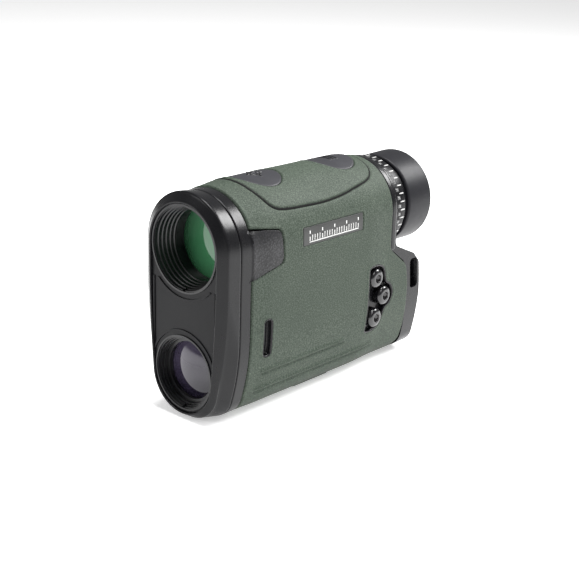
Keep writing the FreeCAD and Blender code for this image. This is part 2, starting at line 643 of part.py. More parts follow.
def make_eyepiece():
    """Fixed tube, sliding ocular cell, dioptre dial and the twist-up eyecup."""
    tube, bore = D["tube_radius"], D["tube_bore"]
    node("eye_tube", turned("eye_tube_body", [
        (76.4, bore), (76.4, tube), (108.0, tube), (108.0, bore)]))
    node("display", block("display_body", (-7.0, 7.0), (74.3, 76.38), (-8.0, 8.0)))
    cell = D["cell_radius"] + 0.04
    node("ocular_cell", turned("ocular_cell_body", [
        (82.0, 8.6), (82.0, cell), (106.0, cell), (106.0, 10.2), (104.6, 9.65), (98.0, 9.65), (98.0, 8.9),
        (88.0, 8.9), (88.0, 9.65), (84.0, 9.65), (84.0, 8.6)]))
    node("field_lens", lens("field_glass", D["eye_lens_radius"], 85.2, 87.2, 40.0))
    node("eye_lens", lens("eye_glass", D["eye_lens_radius"], 98.02, 101.4, None, 26.0))
    node("display_glass", rod("field_stop", D["tube_bore"] - 0.05, 77.2, 78.8))

    front, radius = D["dial_front"], D["dial_radius"]
    dial = turned("dial_body", [
        (front, 12.66), (front, radius), (96.9, radius - 0.1, 0.4), (97.5, 16.7, 0.3), (97.5, 15.8),
        (D["dial_back"], 15.8), (D["dial_back"], 12.66)])
    dents = [block(f"dial_groove_{i}", (-0.25, 0.25), (93.2, 98.0), (16.95, 18.5)) for i in range(36)]
    for i, dent in enumerate(dents):
        turn = FreeCAD.Rotation(Vector(0, 1, 0), 10 * i + 5)
        lift = turn.multVec(Vector(-0.25, 0, 16.95))
        dent.Placement = FreeCAD.Placement(
            Vector(lift.x, along(size(93.2)).value, up(size(lift.z)).value), turn)
        dent.setExpression("Placement.Base.x", None)
        dent.setExpression("Placement.Base.z", size(up(size(lift.z))).text)
    node("dioptre_dial", cut("dial_cut", dial, *dents))

    cup_front, cup, wall = D["cup_front"], D["cup_radius"], D["cup_wall_radius"]
    node("eyecup", turned("eyecup_body", [
        (cup_front, wall + 0.02), (cup_front, cup - 0.4, 0.5), (106.0, cup - 0.15),
        (D["overall_length"], cup, 1.2), (D["overall_length"], 13.0, 1.0), (111.0, 13.0),
        (111.0, wall + 0.02)]))
    node("cup_core", turned("cup_core_body", [
        (cup_front + 0.3, 12.66), (cup_front + 0.3, wall), (111.0, wall), (111.0, 13.0), (110.0, 12.66),
        (103.6, 12.66), (103.6, 13.75), (102.1, 13.75), (102.1, 12.66)]))
    node("cup_ring", turned("cup_ring_body", [
        (102.15, 12.66), (102.15, 13.7), (103.55, 13.7), (103.55, 12.66)]))


def make_rear():
    """Black rear frame with the lanyard window, the battery well and its cap."""
    outline = (D["frame_radius"], D["frame_centre"], D["frame_bottom"], D["side_start"],
               D["frame_side_radius"], D["frame_corner"])
    sections = [outline_sketch("frame_front", D["tail_end"] - 0.2, *outline),
                outline_sketch("frame_back", D["frame_back"] - D["frame_chamfer"], *outline),
                outline_sketch("frame_edge", D["frame_back"], D["frame_radius"] - 1.0,
                               D["frame_centre"], D["frame_bottom"] - 1.0, D["side_start"],
                               D["frame_side_radius"], D["frame_corner"] - 1.0)]
    profile = side_slab("frame_profile", [
        (88.0, 30.0), (91.8, 30.0, 1.2), (91.8, -13.0, 2.5), (103.6, -18.0, 3.0), (107.4, -22.0, 2.5),
        (110.4, -48.0, 6.0), (109.4, -59.0, 3.5), (88.0, -59.0)])
    frame_blank = shared("frame_blank", loft("frame_skin", sections), profile)
    windows = side_slab("lanyard_windows", [(101.4, -20.2, 1.5), (105.9, -20.2, 1.5), (107.2, -32.0, 1.5),
                                            (102.6, -32.0, 1.5)])
    core = block("lanyard_core", (-12.6, 12.6), (95.0, 112.0), (-40.0, -15.0))
    cap_room = rod("cap_room", D["cap_radius"] + 0.1, 105.2, 115.0, height=BATTERY)
    sleeve = cut("armour_sleeve", armour_edge("sleeve_edge", 0.02), chassis_bar("sleeve_bore", 80, 120))
    frame = cut("frame_cut", frame_blank, sleeve, clip_outline("frame_clip"),
                rod("eye_trough", D["dial_radius"] + 0.35, 91.8, 116.0),
                rod("tube_room", D["tube_radius"] + 0.02, 87.0, 93.0),
                rod("holder_room", D["holder_radius"] + 0.02, 87.0, 106.0, height=BATTERY),
                cap_room, cut("lanyard_cut", windows, core))
    for side, sign in BOTH_SIDES:
        node(f"lanyard_pin_{side}", rod(f"pin_{side}", 0.9, -33.2, -19.0, "upright", sign * 15.2, 104.3))
    pins = [rod(f"pin_hole_{side}", 0.92, -33.2, -18.0, "upright", sign * 15.2, 104.3)
            for side, sign in BOTH_SIDES]
    node("rear_frame", cut("frame_body", frame, *pins))

    front = D["battery_front"]
    holder = [(front - 1.5, 0), (front - 1.5, D["holder_radius"]), (105.2, D["holder_radius"]), (105.2, D["holder_bore"]),
              (front, D["holder_bore"]), (front, 0)]
    node("battery_holder", turned("holder_body", holder, height=BATTERY))
    reach = D["battery_radius"]
    node("battery", turned("battery_body", [
        (79.6, 0), (79.6, reach, 0.6), (105.0, reach, 0.6), (105.0, 0)], height=BATTERY))
    node("battery_contact", turned("contact_body", [
        (front, 0), (front, 5.0), (front + 0.5, 5.0), (79.6, 2.5), (79.6, 0)], height=BATTERY))
    cap, face = D["cap_radius"], D["cap_face"]
    lid = turned("cap_turned", [
        (105.02, 0), (105.02, 5.0), (105.6, 5.0), (105.6, cap - 1.4), (106.8, cap - 1.4), (106.8, cap),
        (face, cap, 0.5), (face, 0)], height=BATTERY)
    recess = block("tab_recess", (-8.6, 8.6), (107.85, 111.0), (BATTERY - 1.0, BATTERY + 8.0))
    bowl = shared("tab_bowl", recess, rod("tab_bowl_rim", 8.6, 107.0, 111.0, height=BATTERY))
    node("battery_cap", cut("cap_body", lid, bowl))
    node("cap_seal", turned("seal_body", [
        (105.7, cap - 1.35), (105.7, cap - 0.05, 0.4), (106.7, cap - 0.05, 0.4), (106.7, cap - 1.35)],
        height=BATTERY))
    tab = shared("tab_blank", block("tab_box", (-8.2, 8.2), (108.2, 109.3), (BATTERY - 0.15, BATTERY + 8.0)),
                 rod("tab_rim", 8.2, 107.0, 111.0, height=BATTERY))
    finger = rod("tab_hole", 5.2, 107.0, 111.0, height=BATTERY + 0.8)
    guard = block("tab_guard", (-9, 9), (107.5, 111.0), (BATTERY + 1.2, BATTERY + 9.0))
    pivot = rod("tab_pivot", 0.55, -8.0, 8.0, "across", 0, 108.75, BATTERY - 0.15)
    node("cap_tab", together("tab_body", cut("tab_plate", tab, shared("tab_hole_half", finger, guard)), pivot))


def make_fittings():
    """Belt-clip screws in threaded inserts, and the tripod socket in the bottom boss."""
    head, shank, floor = D["head_radius"], D["screw_radius"], D["clip_floor"]
    top = floor + D["head_height"]
    for i, (behind, height) in enumerate(clip_places(), start=1):
        dome = [(floor - D["screw_length"], 0), (floor - D["screw_length"], shank), (floor, shank),
                (floor, head), (floor + 0.8, head), (top - 0.4, head * 0.8), (top, head * 0.5), (top, 0)]
        screw = turned(f"clip_screw_blank_{i}", dome, "across", behind=behind, height=height)
        hexagon = doc.addObject("Part::Prism", f"clip_hex_{i}")
        hexagon.Polygon = 6
        bind(hexagon, "Circumradius", D["hex_size"] * 0.57735)
        bind(hexagon, "Height", size(3.0))
        place(hexagon, top - 1.3, along(size(behind)), up(size(height)),
              FreeCAD.Rotation(Vector(0, 1, 0), 90))
        node(f"clip_screw_{i}", cut(f"clip_screw_body_{i}", screw, hexagon))
        node(f"clip_insert_{i}", turned(f"clip_insert_body_{i}", [
            (11.6, D["insert_bore"]), (11.6, D["insert_radius"]), (floor - 0.02, D["insert_radius"]),
            (floor - 0.02, D["insert_bore"])], "across", behind=behind, height=height))
    foot = -D["armour_bottom"] - D["boss_depth"]
    node("tripod_socket", turned("socket_body", [
        (0.3, D["socket_bore"]), (0.3, D["socket_radius"]), (D["socket_length"], D["socket_radius"]),
        (D["socket_length"], 0), (D["socket_depth"], 0), (D["socket_depth"], D["socket_bore"])],
        "upright", behind=D["boss_middle"], height=foot))


def write_parts():
    """Checks every object and writes one STEP file per node."""
    doc.recompute()
    broken = [thing.Name for thing in doc.Objects
              if any(word in ("Invalid", "Error") for word in thing.State)]
    if broken:
        raise RuntimeError(f"not sound: {', '.join(broken)}")
    os.makedirs("parts", exist_ok=True)
    for name, thing in nodes.items():
        shape = thing.Shape
        if shape.isNull() or not shape.isValid() or shape.Volume <= 0:
            raise RuntimeError(f"{name} has no sound shape")
        shape.exportStep(f"parts/{name}.step")
        box = shape.BoundBox
        print(f"{name:18s} {shape.Volume:10.1f} mm3 {len(shape.Solids)} solid(s)  "
              f"x {box.XMin:6.2f} {box.XMax:6.2f}  y {box.YMin:6.2f} {box.YMax:6.2f}  "
              f"z {box.ZMin:6.2f} {box.ZMax:6.2f}")


make_front()
make_chassis()
make_armour()
make_buttons()
make_optics()
make_eyepiece()
make_rear()
make_fittings()
write_parts()
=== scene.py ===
"""Laser rangefinder: surfaces, materials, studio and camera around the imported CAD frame."""
import json
import math

import bpy
import numpy as np
from mathutils import Matrix, Vector

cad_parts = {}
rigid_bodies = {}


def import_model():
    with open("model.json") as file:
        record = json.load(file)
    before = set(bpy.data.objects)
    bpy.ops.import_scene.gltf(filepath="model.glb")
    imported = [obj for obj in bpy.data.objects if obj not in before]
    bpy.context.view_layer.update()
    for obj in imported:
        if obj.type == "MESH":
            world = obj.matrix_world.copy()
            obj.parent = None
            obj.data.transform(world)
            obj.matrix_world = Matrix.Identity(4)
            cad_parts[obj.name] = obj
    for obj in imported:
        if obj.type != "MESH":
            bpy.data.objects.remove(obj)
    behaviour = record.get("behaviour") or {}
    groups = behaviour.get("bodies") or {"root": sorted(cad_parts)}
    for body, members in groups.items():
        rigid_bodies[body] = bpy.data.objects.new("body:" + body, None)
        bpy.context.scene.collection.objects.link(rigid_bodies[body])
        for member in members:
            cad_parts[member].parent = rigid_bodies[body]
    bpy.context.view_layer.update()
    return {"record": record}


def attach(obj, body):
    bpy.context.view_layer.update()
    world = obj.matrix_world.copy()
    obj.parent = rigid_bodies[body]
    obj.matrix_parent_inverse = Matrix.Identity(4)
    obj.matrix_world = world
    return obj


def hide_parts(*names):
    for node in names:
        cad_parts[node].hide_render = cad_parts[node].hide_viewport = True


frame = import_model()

# Pieces are built in millimetres across, behind the front and above the optical axis.
MM = 0.001
FRONT = -0.05715
AXIS = 0.059

# ---------------------------------------------------------------- materials

class Shade:
    """A material's node tree with short ways to add nodes and links."""

    def __init__(self, name):
        self.material = bpy.data.materials.new(name)
        self.material.use_nodes = True
        self.tree = self.material.node_tree
        self.shader = self.tree.nodes["Principled BSDF"]
        self.coords = self.add("ShaderNodeTexCoord").outputs["Object"]

    def add(self, kind, **settings):
        """A new node with its settings."""
        made = self.tree.nodes.new(kind)
        for key, value in settings.items():
            setattr(made, key, value)
        return made

    def link(self, out, into):
        self.tree.links.new(out, into)

    def set(self, **values):
        """Plain values on the main shader's sockets, with underscores for the spaces in their names."""
        for key, value in values.items():
            self.shader.inputs[key.replace("_", " ")].default_value = value
        return self

    def noise(self, scale, detail=3.0, rough=0.55, stretch=None):
        """Noise over the object's own space, stretched along its axes if asked."""
        source = self.coords
        if stretch:
            mapping = self.add("ShaderNodeMapping")
            mapping.inputs["Scale"].default_value = stretch
            self.link(source, mapping.inputs["Vector"])
            source = mapping.outputs["Vector"]
        made = self.add("ShaderNodeTexNoise")
        made.inputs["Scale"].default_value = scale
        made.inputs["Detail"].default_value = detail
        made.inputs["Roughness"].default_value = rough
        self.link(source, made.inputs["Vector"])
        return made.outputs["Fac"]

    def cells(self, scale):
        """Distance to the nearest of many scattered points."""
        made = self.add("ShaderNodeTexVoronoi", feature="F1")
        made.inputs["Scale"].default_value = scale
        self.link(self.coords, made.inputs["Vector"])
        return made.outputs["Distance"]

    def ramp(self, fac, stops):
        """A colour ramp from (position, colour) stops."""
        made = self.add("ShaderNodeValToRGB")
        ramp = made.color_ramp
        while len(ramp.elements) < len(stops):
            ramp.elements.new(0.5)
        for element, (position, colour) in zip(ramp.elements, stops):
            element.position = position
            element.color = (*colour, 1.0)
        self.link(fac, made.inputs["Fac"])
        return made.outputs["Color"]

    def span(self, fac, low, high):
        """A value from 0 to 1 spread over low to high."""
        made = self.add("ShaderNodeMapRange")
        made.inputs["To Min"].default_value = low
        made.inputs["To Max"].default_value = high
        self.link(fac, made.inputs["Value"])
        return made.outputs["Result"]

    def bump(self, *layers):
        """Layers of (height, strength, distance in millimetres), the last on top."""
        normal = None
        for height, strength, distance in layers:
            made = self.add("ShaderNodeBump")
            made.inputs["Strength"].default_value = strength
            made.inputs["Distance"].default_value = distance * MM
            self.link(height, made.inputs["Height"])
            if normal:
                self.link(normal, made.inputs["Normal"])
            normal = made.outputs["Normal"]
        self.link(normal, self.shader.inputs["Normal"])
        return self


def moulded(name, dark, light, rough, grain=2600.0, depth=0.05, strength=0.35, spec=0.5):
    """Moulded plastic or rubber: a fine spark-eroded grain and slow changes of tone."""
    shade = Shade(name)
    slow = shade.noise(60.0, 4.0)
    fine = shade.noise(grain, 2.0, 0.7)
    shade.link(shade.ramp(slow, ((0.3, dark), (0.7, light))), shade.shader.inputs["Base Color"])
    worn = shade.span(shade.noise(350.0, 3.0), rough - 0.05, rough + 0.06)
    shade.link(worn, shade.shader.inputs["Roughness"])
    shade.set(Specular_IOR_Level=spec)
    return shade.bump((fine, strength, depth), (slow, 0.08, 0.1)).material


def green_rubber():
    """Grey-green armour: a sandy grain whose peaks are lighter than its pits."""
    shade = Shade("green_armour")
    grain = shade.noise(2300.0, 3.0, 0.75)
    slow = shade.noise(45.0, 3.0)
    flecks = shade.ramp(grain, ((0.34, (0.017, 0.026, 0.018)), (0.5, (0.040, 0.054, 0.040)),
                                (0.68, (0.095, 0.118, 0.094))))
    tone = shade.ramp(slow, ((0.3, (0.88, 0.90, 0.88)), (0.7, (1.06, 1.05, 1.04))))
    mix = shade.add("ShaderNodeMix", data_type="RGBA", blend_type="MULTIPLY")
    mix.inputs["Factor"].default_value = 1.0
    shade.link(flecks, mix.inputs["A"])
    shade.link(tone, mix.inputs["B"])
    shade.link(mix.outputs["Result"], shade.shader.inputs["Base Color"])
    shade.link(shade.span(grain, 0.5, 0.72), shade.shader.inputs["Roughness"])
    shade.set(Specular_IOR_Level=0.22)
    return shade.bump((grain, 0.55, 0.09), (slow, 0.05, 0.2)).material


def lens_with_painted_light(name, stops, painted_glow, middle=(0.62, 0.5, 0.52)):
    """A coated lens with a painted highlight: a bright patch off its middle that fades to a dark rim, also
    shining by emission as painted light, under a clear coat.
    """
    shade = Shade(name)
    generated = shade.add("ShaderNodeTexCoord").outputs["Generated"]
    away = shade.add("ShaderNodeVectorMath", operation="DISTANCE")
    away.inputs[1].default_value = middle
    shade.link(generated, away.inputs[0])
    # Painted highlight: brightest at the middle point and darker towards the rim; the same colour shines by
    # emission as painted light.
    colour = shade.ramp(away.outputs["Value"], stops)
    shade.link(colour, shade.shader.inputs["Base Color"])
    shade.link(colour, shade.shader.inputs["Emission Color"])
    shade.link(shade.span(shade.noise(90.0, 2.0), 0.03, 0.06), shade.shader.inputs["Roughness"])
    shade.set(Coat_Weight=0.3, Coat_Roughness=0.02, Emission_Strength=painted_glow)
    return shade.material


def metal(name, colour, rough, stretch=(1.0, 60.0, 1.0)):
    """Turned metal with fine tool marks."""
    shade = Shade(name)
    marks = shade.noise(900.0, 2.0, 0.6, stretch)
    low = tuple(0.85 * part for part in colour)
    shade.link(shade.ramp(marks, ((0.3, low), (0.7, colour))), shade.shader.inputs["Base Color"])
    shade.link(shade.span(marks, rough, rough + 0.12), shade.shader.inputs["Roughness"])
    shade.set(Metallic=1.0)
    return shade.bump((marks, 0.15, 0.02)).material


def pebbled(name):
    """Black rubber with a fine pebble grain."""
    shade = Shade(name)
    pebbles = shade.cells(1500.0)
    shade.link(shade.ramp(pebbles, ((0.1, (0.024, 0.024, 0.027)), (0.6, (0.006, 0.006, 0.007)))),
               shade.shader.inputs["Base Color"])
    shade.link(shade.span(pebbles, 0.3, 0.5), shade.shader.inputs["Roughness"])
    shade.set(Specular_IOR_Level=0.3)
    return shade.bump((pebbles, 0.5, -0.12)).material


def board_green():
    """Circuit board lacquer over copper tracks."""
    shade = Shade("circuit_board")
    tracks = shade.cells(420.0)
    shade.link(shade.ramp(tracks, ((0.2, (0.01, 0.10, 0.04)), (0.5, (0.02, 0.22, 0.09)))),
               shade.shader.inputs["Base Color"])
    shade.link(shade.span(tracks, 0.25, 0.4), shade.shader.inputs["Roughness"])
    return shade.bump((tracks, 0.2, 0.05)).material


MATERIALS = {
    "green_armour": green_rubber(),
    "black_shell": moulded("black_shell", (0.004, 0.004, 0.005), (0.007, 0.007, 0.008), 0.25, depth=0.03,
                           strength=0.2, spec=0.22),
    "face_black": moulded("face_black", (0.004, 0.004, 0.005), (0.008, 0.008, 0.009), 0.32, depth=0.03,
                          strength=0.2, spec=0.15),
    "tab_rubber": pebbled("tab_rubber"),
    "button_rubber": moulded("button_rubber", (0.018, 0.018, 0.022), (0.028, 0.028, 0.033), 0.48, spec=0.3),
    "badge_grey": moulded("badge_grey", (0.036, 0.037, 0.036), (0.054, 0.055, 0.054), 0.42, depth=0.03,
                          spec=0.25),
    "dial_black": moulded("dial_black", (0.003, 0.003, 0.004), (0.006, 0.006, 0.007), 0.33, depth=0.03,
                          spec=0.15),
    "cap_black": moulded("cap_black", (0.005, 0.005, 0.006), (0.009, 0.009, 0.010), 0.34, depth=0.03,
                         spec=0.22),
    "eyecup_rubber": moulded("eyecup_rubber", (0.009, 0.009, 0.011), (0.015, 0.015, 0.018), 0.42, 3400.0,
                             0.02, 0.2, 0.18),
    "inner_plastic": moulded("inner_plastic", (0.02, 0.02, 0.02), (0.03, 0.03, 0.03), 0.5),
    "switch_plastic": moulded("switch_plastic", (0.02, 0.02, 0.02), (0.03, 0.03, 0.03), 0.4),
    "ring_rubber": moulded("ring_rubber", (0.006, 0.006, 0.006), (0.010, 0.010, 0.010), 0.6, spec=0.1),
    "battery_wrap": moulded("battery_wrap", (0.08, 0.09, 0.11), (0.12, 0.14, 0.17), 0.25, depth=0.01),
    "black_metal": moulded("black_metal", (0.005, 0.005, 0.006), (0.010, 0.010, 0.011), 0.3, 1800.0, 0.02,
                           0.15, 0.45),
    "black_screw": moulded("black_screw", (0.004, 0.004, 0.005), (0.008, 0.008, 0.009), 0.16, 900.0, 0.01,
                           0.1, 0.7),
    "steel": metal("steel", (0.62, 0.62, 0.63), 0.22),
    "brass": metal("brass", (0.70, 0.52, 0.22), 0.25),
    "contact_metal": metal("contact_metal", (0.78, 0.62, 0.32), 0.2),
    "circuit_board": board_green(),
    # Each lens carries a painted highlight; the green and violet ones also shine by emission as painted
    # light.
    "green_glass": lens_with_painted_light("green_glass", ((0.0, (0.42, 0.74, 0.48)), (0.22, (0.26, 0.56, 0.33)),
                                                (0.40, (0.06, 0.22, 0.10)), (0.62, (0.008, 0.035, 0.015))),
                                0.30),
    "violet_glass": lens_with_painted_light("violet_glass", ((0.0, (0.11, 0.10, 0.14)), (0.3, (0.045, 0.036, 0.065)),
                                                  (0.6, (0.010, 0.008, 0.016))), 0.06, (0.4, 0.5, 0.62)),
    "clear_glass": lens_with_painted_light("clear_glass", ((0.0, (0.10, 0.12, 0.13)), (0.6, (0.02, 0.025, 0.03))), 0.0),
    # The dial's raised grips are real; their grey colour is painted sheen, standing for the highlights they
    # catch.
    "grip_painted_sheen": moulded("grip_painted_sheen", (0.09, 0.09, 0.09), (0.16, 0.16, 0.16), 0.2, depth=0.02),
    "white_print": moulded("white_print", (0.50, 0.50, 0.49), (0.62, 0.62, 0.61), 0.4, depth=0.01,
                           strength=0.1),
}

for entry in frame["record"]["subparts"]:
    owner = bpy.data.objects[entry["node"]]
    finish = MATERIALS[entry["material_slot"]]
    owner.data.materials.clear()
    owner.data.materials.append(finish)

# ---------------------------------------------------------------- the body's cross-section

SEGMENTS = {"top": 92, "side": 84, "flank": 60, "corner": 42, "base": 26}


def half_section(radius, centre, bottom, side_start=28.0, side_radius=80.0, corner=9.5):
    """Right half of the outline, in millimetres, from the top middle to the bottom middle."""
    low = -bottom + corner
    reach = math.sqrt((side_radius - corner) ** 2 - (low + side_start) ** 2)
    inner = reach - (side_radius - radius)
    lean = math.atan2(-side_start - low, reach)
    parts = []

    def arc(x, z, size, start, stop, count):
        angles = np.linspace(start, stop, count, endpoint=False)
        parts.append(np.stack((x + size * np.cos(angles), z + size * np.sin(angles)), 1))

    def line(one, two, count, closed=False):
        parts.append(np.linspace(one, two, count, endpoint=closed))

    arc(0.0, centre, radius, math.pi / 2, 0.0, SEGMENTS["top"])
    line((radius, centre), (radius, -side_start), SEGMENTS["side"])
    arc(radius - side_radius, -side_start, side_radius, 0.0, -lean, SEGMENTS["flank"])
    arc(inner, low, corner, -lean, -math.pi / 2, SEGMENTS["corner"])
    line((inner, -bottom), (0.0, -bottom), SEGMENTS["base"], True)
    return np.concatenate(parts)


def ring(**sizes):
    """The closed outline, clockwise from the top middle as seen from the front."""
    half = half_section(**sizes)
    other = half[-2:0:-1] * (-1.0, 1.0)
    return np.concatenate((half, other))


def ring_normals(points):
    """Outward normal at each point of a closed outline."""
    ahead = np.roll(points, -1, 0) - np.roll(points, 1, 0)
    normal = np.stack((-ahead[:, 1], ahead[:, 0]), 1)
    return normal / np.linalg.norm(normal, axis=1, keepdims=True)


def ring_lengths(points):
    """Distance round the outline from the top middle: positive on the right, negative on the left."""
    steps = np.linalg.norm(np.roll(points, -1, 0) - points, axis=1)
    run = np.concatenate(((0.0,), np.cumsum(steps)[:-1]))
    whole = steps.sum()
    return np.where(run > whole / 2, run - whole, run)


CASE = {"radius": 18.9, "centre": -0.5, "bottom": 58.2}
BROW = {"radius": 19.2, "centre": -0.3, "bottom": 57.9}
ARMOUR = {"radius": 19.6, "centre": 0.2, "bottom": 57.9}
TAIL = {"radius": 18.7, "centre": 0.0, "bottom": 57.9}
STATIONS = ((13.0, BROW), (23.0, ARMOUR), (73.0, ARMOUR), (88.2, TAIL), (104.0, TAIL))


def smooth(value):
    """An even ramp from 0 to 1 with soft ends."""
    value = np.clip(value, 0.0, 1.0)
    return value * value * (3.0 - 2.0 * value)


def body_sections():
    """Outlines every half millimetre along the body, with their normals."""
    places = np.arange(8.0, 104.1, 0.5)
    outlines, normals = [], []
    for at in places:
        if at <= 13.0:
            mix, one, two = (at - 8.0) / 5.0, CASE, CASE
        else:
            (start, one), (stop, two) = next(
                (a, b) for a, b in zip(STATIONS, STATIONS[1:]) if at <= b[0])
            mix = float(smooth((at - start) / (stop - start)))
        sizes = {key: one[key] + (two[key] - one[key]) * mix for key in one}
        points = ring(**sizes)
        outlines.append(points)
        normals.append(ring_normals(points))
    return places, np.array(outlines), np.array(normals)


PLACES, OUTLINES, NORMALS = body_sections()
LENGTHS = ring_lengths(ring(**ARMOUR))
HEIGHTS = ring(**ARMOUR)[:, 1]
COUNT = len(LENGTHS)


def on_body(along, columns):
    """Surface point and outward normal at each distance behind the front, for outline columns."""
    scaled = np.clip((along - PLACES[0]) / 0.5, 0, len(PLACES) - 1.001)
    low = scaled.astype(int)
    mix = (scaled - low)[..., None]
    point = OUTLINES[low, columns] * (1 - mix) + OUTLINES[low + 1, columns] * mix
    normal = NORMALS[low, columns] * (1 - mix) + NORMALS[low + 1, columns] * mix
    return point, normal


# ---------------------------------------------------------------- meshes

LATHE_SEGMENTS = 160
HEAD_SEGMENTS = 96


def mesh_piece(name, points, faces, body, slot, materials, indices=None, replaced=()):
    """A mesh object from millimetre points (across, behind, above); it rides on a CAD body."""
    data = bpy.data.meshes.new(name)
    rows = np.asarray(points, dtype=float) * MM + (0.0, FRONT, AXIS)
    data.from_pydata(rows.tolist(), [], faces)
    for key in materials:
        data.materials.append(MATERIALS[key])
    if indices is not None:
        data.polygons.foreach_set("material_index", np.asarray(indices, dtype=np.int32))
    data.polygons.foreach_set("use_smooth", [True] * len(data.polygons))
    data.update()
    made = bpy.data.objects.new(name, data)
    bpy.context.collection.objects.link(made)
    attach(made, body)
    if replaced:
        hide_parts(*replaced)
    return made


def grid_faces(rows, columns, last_to_first=False):
    """Quads over rows of points that run right round; the last row can join the first as well."""
    count = rows if last_to_first else rows - 1
    row, column = np.meshgrid(np.arange(count), np.arange(columns), indexing="ij")
    below = (row + 1) % rows
    following = (column + 1) % columns
    a, b = row * columns + column, row * columns + following
    c, d = below * columns + following, below * columns + column
    return np.stack((a, b, c, d), -1).reshape(-1, 4)


def lathe(name, profile, body, slot, replaced):
    """A turned ring from a closed profile of (behind, radius) pairs."""
    turn = np.linspace(0, 2 * math.pi, LATHE_SEGMENTS, endpoint=False)
    along, radius = (np.array(column)[:, None] for column in zip(*profile))
    points = np.stack((radius * np.sin(turn), along + 0 * turn, radius * np.cos(turn)), -1)
    faces = grid_faces(len(profile), LATHE_SEGMENTS, last_to_first=True)
    return mesh_piece(name, points.reshape(-1, 3), faces.tolist(), body, slot, [slot], replaced=replaced)


def eased(profile, width=0.25, steps=3):
    """The profile with each corner rounded, or left sharp where it has a third value of 0."""
    rounded = []
    count = len(profile)
    for i, corner in enumerate(profile):
        here = np.array(corner[:2], float)
        before = np.array(profile[i - 1][:2], float)
        after = np.array(profile[(i + 1) % count][:2], float)
        reach = corner[2] if len(corner) > 2 else width
        back, ahead = before - here, after - here
        room = 0.45 * min(np.linalg.norm(back), np.linalg.norm(ahead))
        reach = min(reach, room)
        if reach <= 0:
            rounded.append(tuple(here))
            continue
        start = here + back / np.linalg.norm(back) * reach
        stop = here + ahead / np.linalg.norm(ahead) * reach
        for mix in np.linspace(0, 1, steps + 1):
            one = start + (here - start) * mix
            two = here + (stop - here) * mix
            rounded.append(tuple(one + (two - one) * mix))
    return rounded


def signed_distance(x, y, corners):
    """Distance from each point to a closed polygon, negative inside."""
    corners = np.asarray(corners, float)
    nearest = np.full(x.shape, 1e9)
    inside = np.zeros(x.shape, bool)
    for (x1, y1), (x2, y2) in zip(corners, np.roll(corners, -1, 0)):
        dx, dy = x2 - x1, y2 - y1
        mix = np.clip(((x - x1) * dx + (y - y1) * dy) / (dx * dx + dy * dy), 0, 1)
        nearest = np.minimum(nearest, np.hypot(x - x1 - mix * dx, y - y1 - mix * dy))
        if abs(dy) > 1e-9:
            inside ^= ((y1 > y) != (y2 > y)) & (x < dx * (y - y1) / dy + x1)
    return np.where(inside, -nearest, nearest)


def rounded_polygon(corners, radii):
    """Corner points with each corner rounded off."""
    shaped = [(x, y, r) for (x, y), r in zip(corners, radii)]
    return eased(shaped, steps=7)


def mirrored(curve):
    """A curve of (across, behind) on the right, closed by its mirror image on the left."""
    return list(curve) + [(-x, y) for x, y in reversed(curve)]


def flowing(points, steps=8):
    """Points along a smooth curve through the given ones."""
    points = np.asarray(points, float)
    ends = np.concatenate(((2 * points[0] - points[1],), points, (2 * points[-1] - points[-2],)))
    made = []
    for i in range(1, len(ends) - 2):
        p0, p1, p2, p3 = ends[i - 1:i + 3]
        for u in np.linspace(0, 1, steps, endpoint=False):
            made.append(0.5 * (2 * p1 + (p2 - p0) * u + (2 * p0 - 5 * p1 + 4 * p2 - p3) * u * u
                               + (3 * p1 - p0 - 3 * p2 + p3) * u ** 3))
    made.append(points[-1])
    return [tuple(point) for point in made]


def falls(distance, width):
    """1 inside an outline and 0 outside it, with a soft edge this wide."""
    return smooth(0.5 - distance / width)


# ---------------------------------------------------------------- what is cut into the armour

SEAM = mirrored(flowing([(1.5, 21.6), (5.0, 21.8), (8.8, 22.3), (13.4, 23.8), (16.7, 25.6), (18.5, 28.5),
                         (19.3, 33.8), (19.7, 42.3), (19.9, 51.3), (19.2, 61.0), (18.0, 68.0),
                         (16.5, 75.7), (14.4, 80.6), (10.5, 83.6), (5.5, 84.6), (1.5, 84.8)]))
TAB = rounded_polygon([(10.0, 8.3), (12.9, 7.9), (26.9, 5.6), (28.0, -5.6), (14.4, -8.8), (10.0, -8.8)],
                      [0.0, 0.0, 1.6, 2.4, 1.0, 0.0])
BADGE = rounded_polygon([(37.4, 4.0), (69.4, 4.0), (69.4, -2.3), (37.4, -2.3)], [0.5] * 4)
SLOT = rounded_polygon([(19.2, -24.3), (22.6, -24.3), (22.6, -37.1), (19.2, -37.1)], [1.5] * 4)
CLIP = flowing([(76.4, -18.3), (80.2, -18.1), (83.7, -19.6), (85.2, -23.0), (86.2, -25.6), (88.8, -27.3),
                (90.2, -30.6), (88.8, -33.9), (86.2, -35.6), (85.2, -38.2), (83.7, -41.6), (80.2, -43.1),
                (76.4, -42.9), (75.5, -42.4), (75.3, -41.4), (75.3, -30.6), (75.3, -19.8), (75.5, -18.8),
                (76.4, -18.3)], 6)[:-1]
BUTTONS = (("front", 33.3), ("rear", 72.3))
BUTTON_RADIUS = 9.3
CLIP_SCREWS = ((80.2, -23.0), (85.0, -30.6), (80.2, -38.2))
RIBS = ((-42.4, 18.8, 64.0), (-49.0, 17.0, 83.0))
BOSS_MIDDLE = 56.0


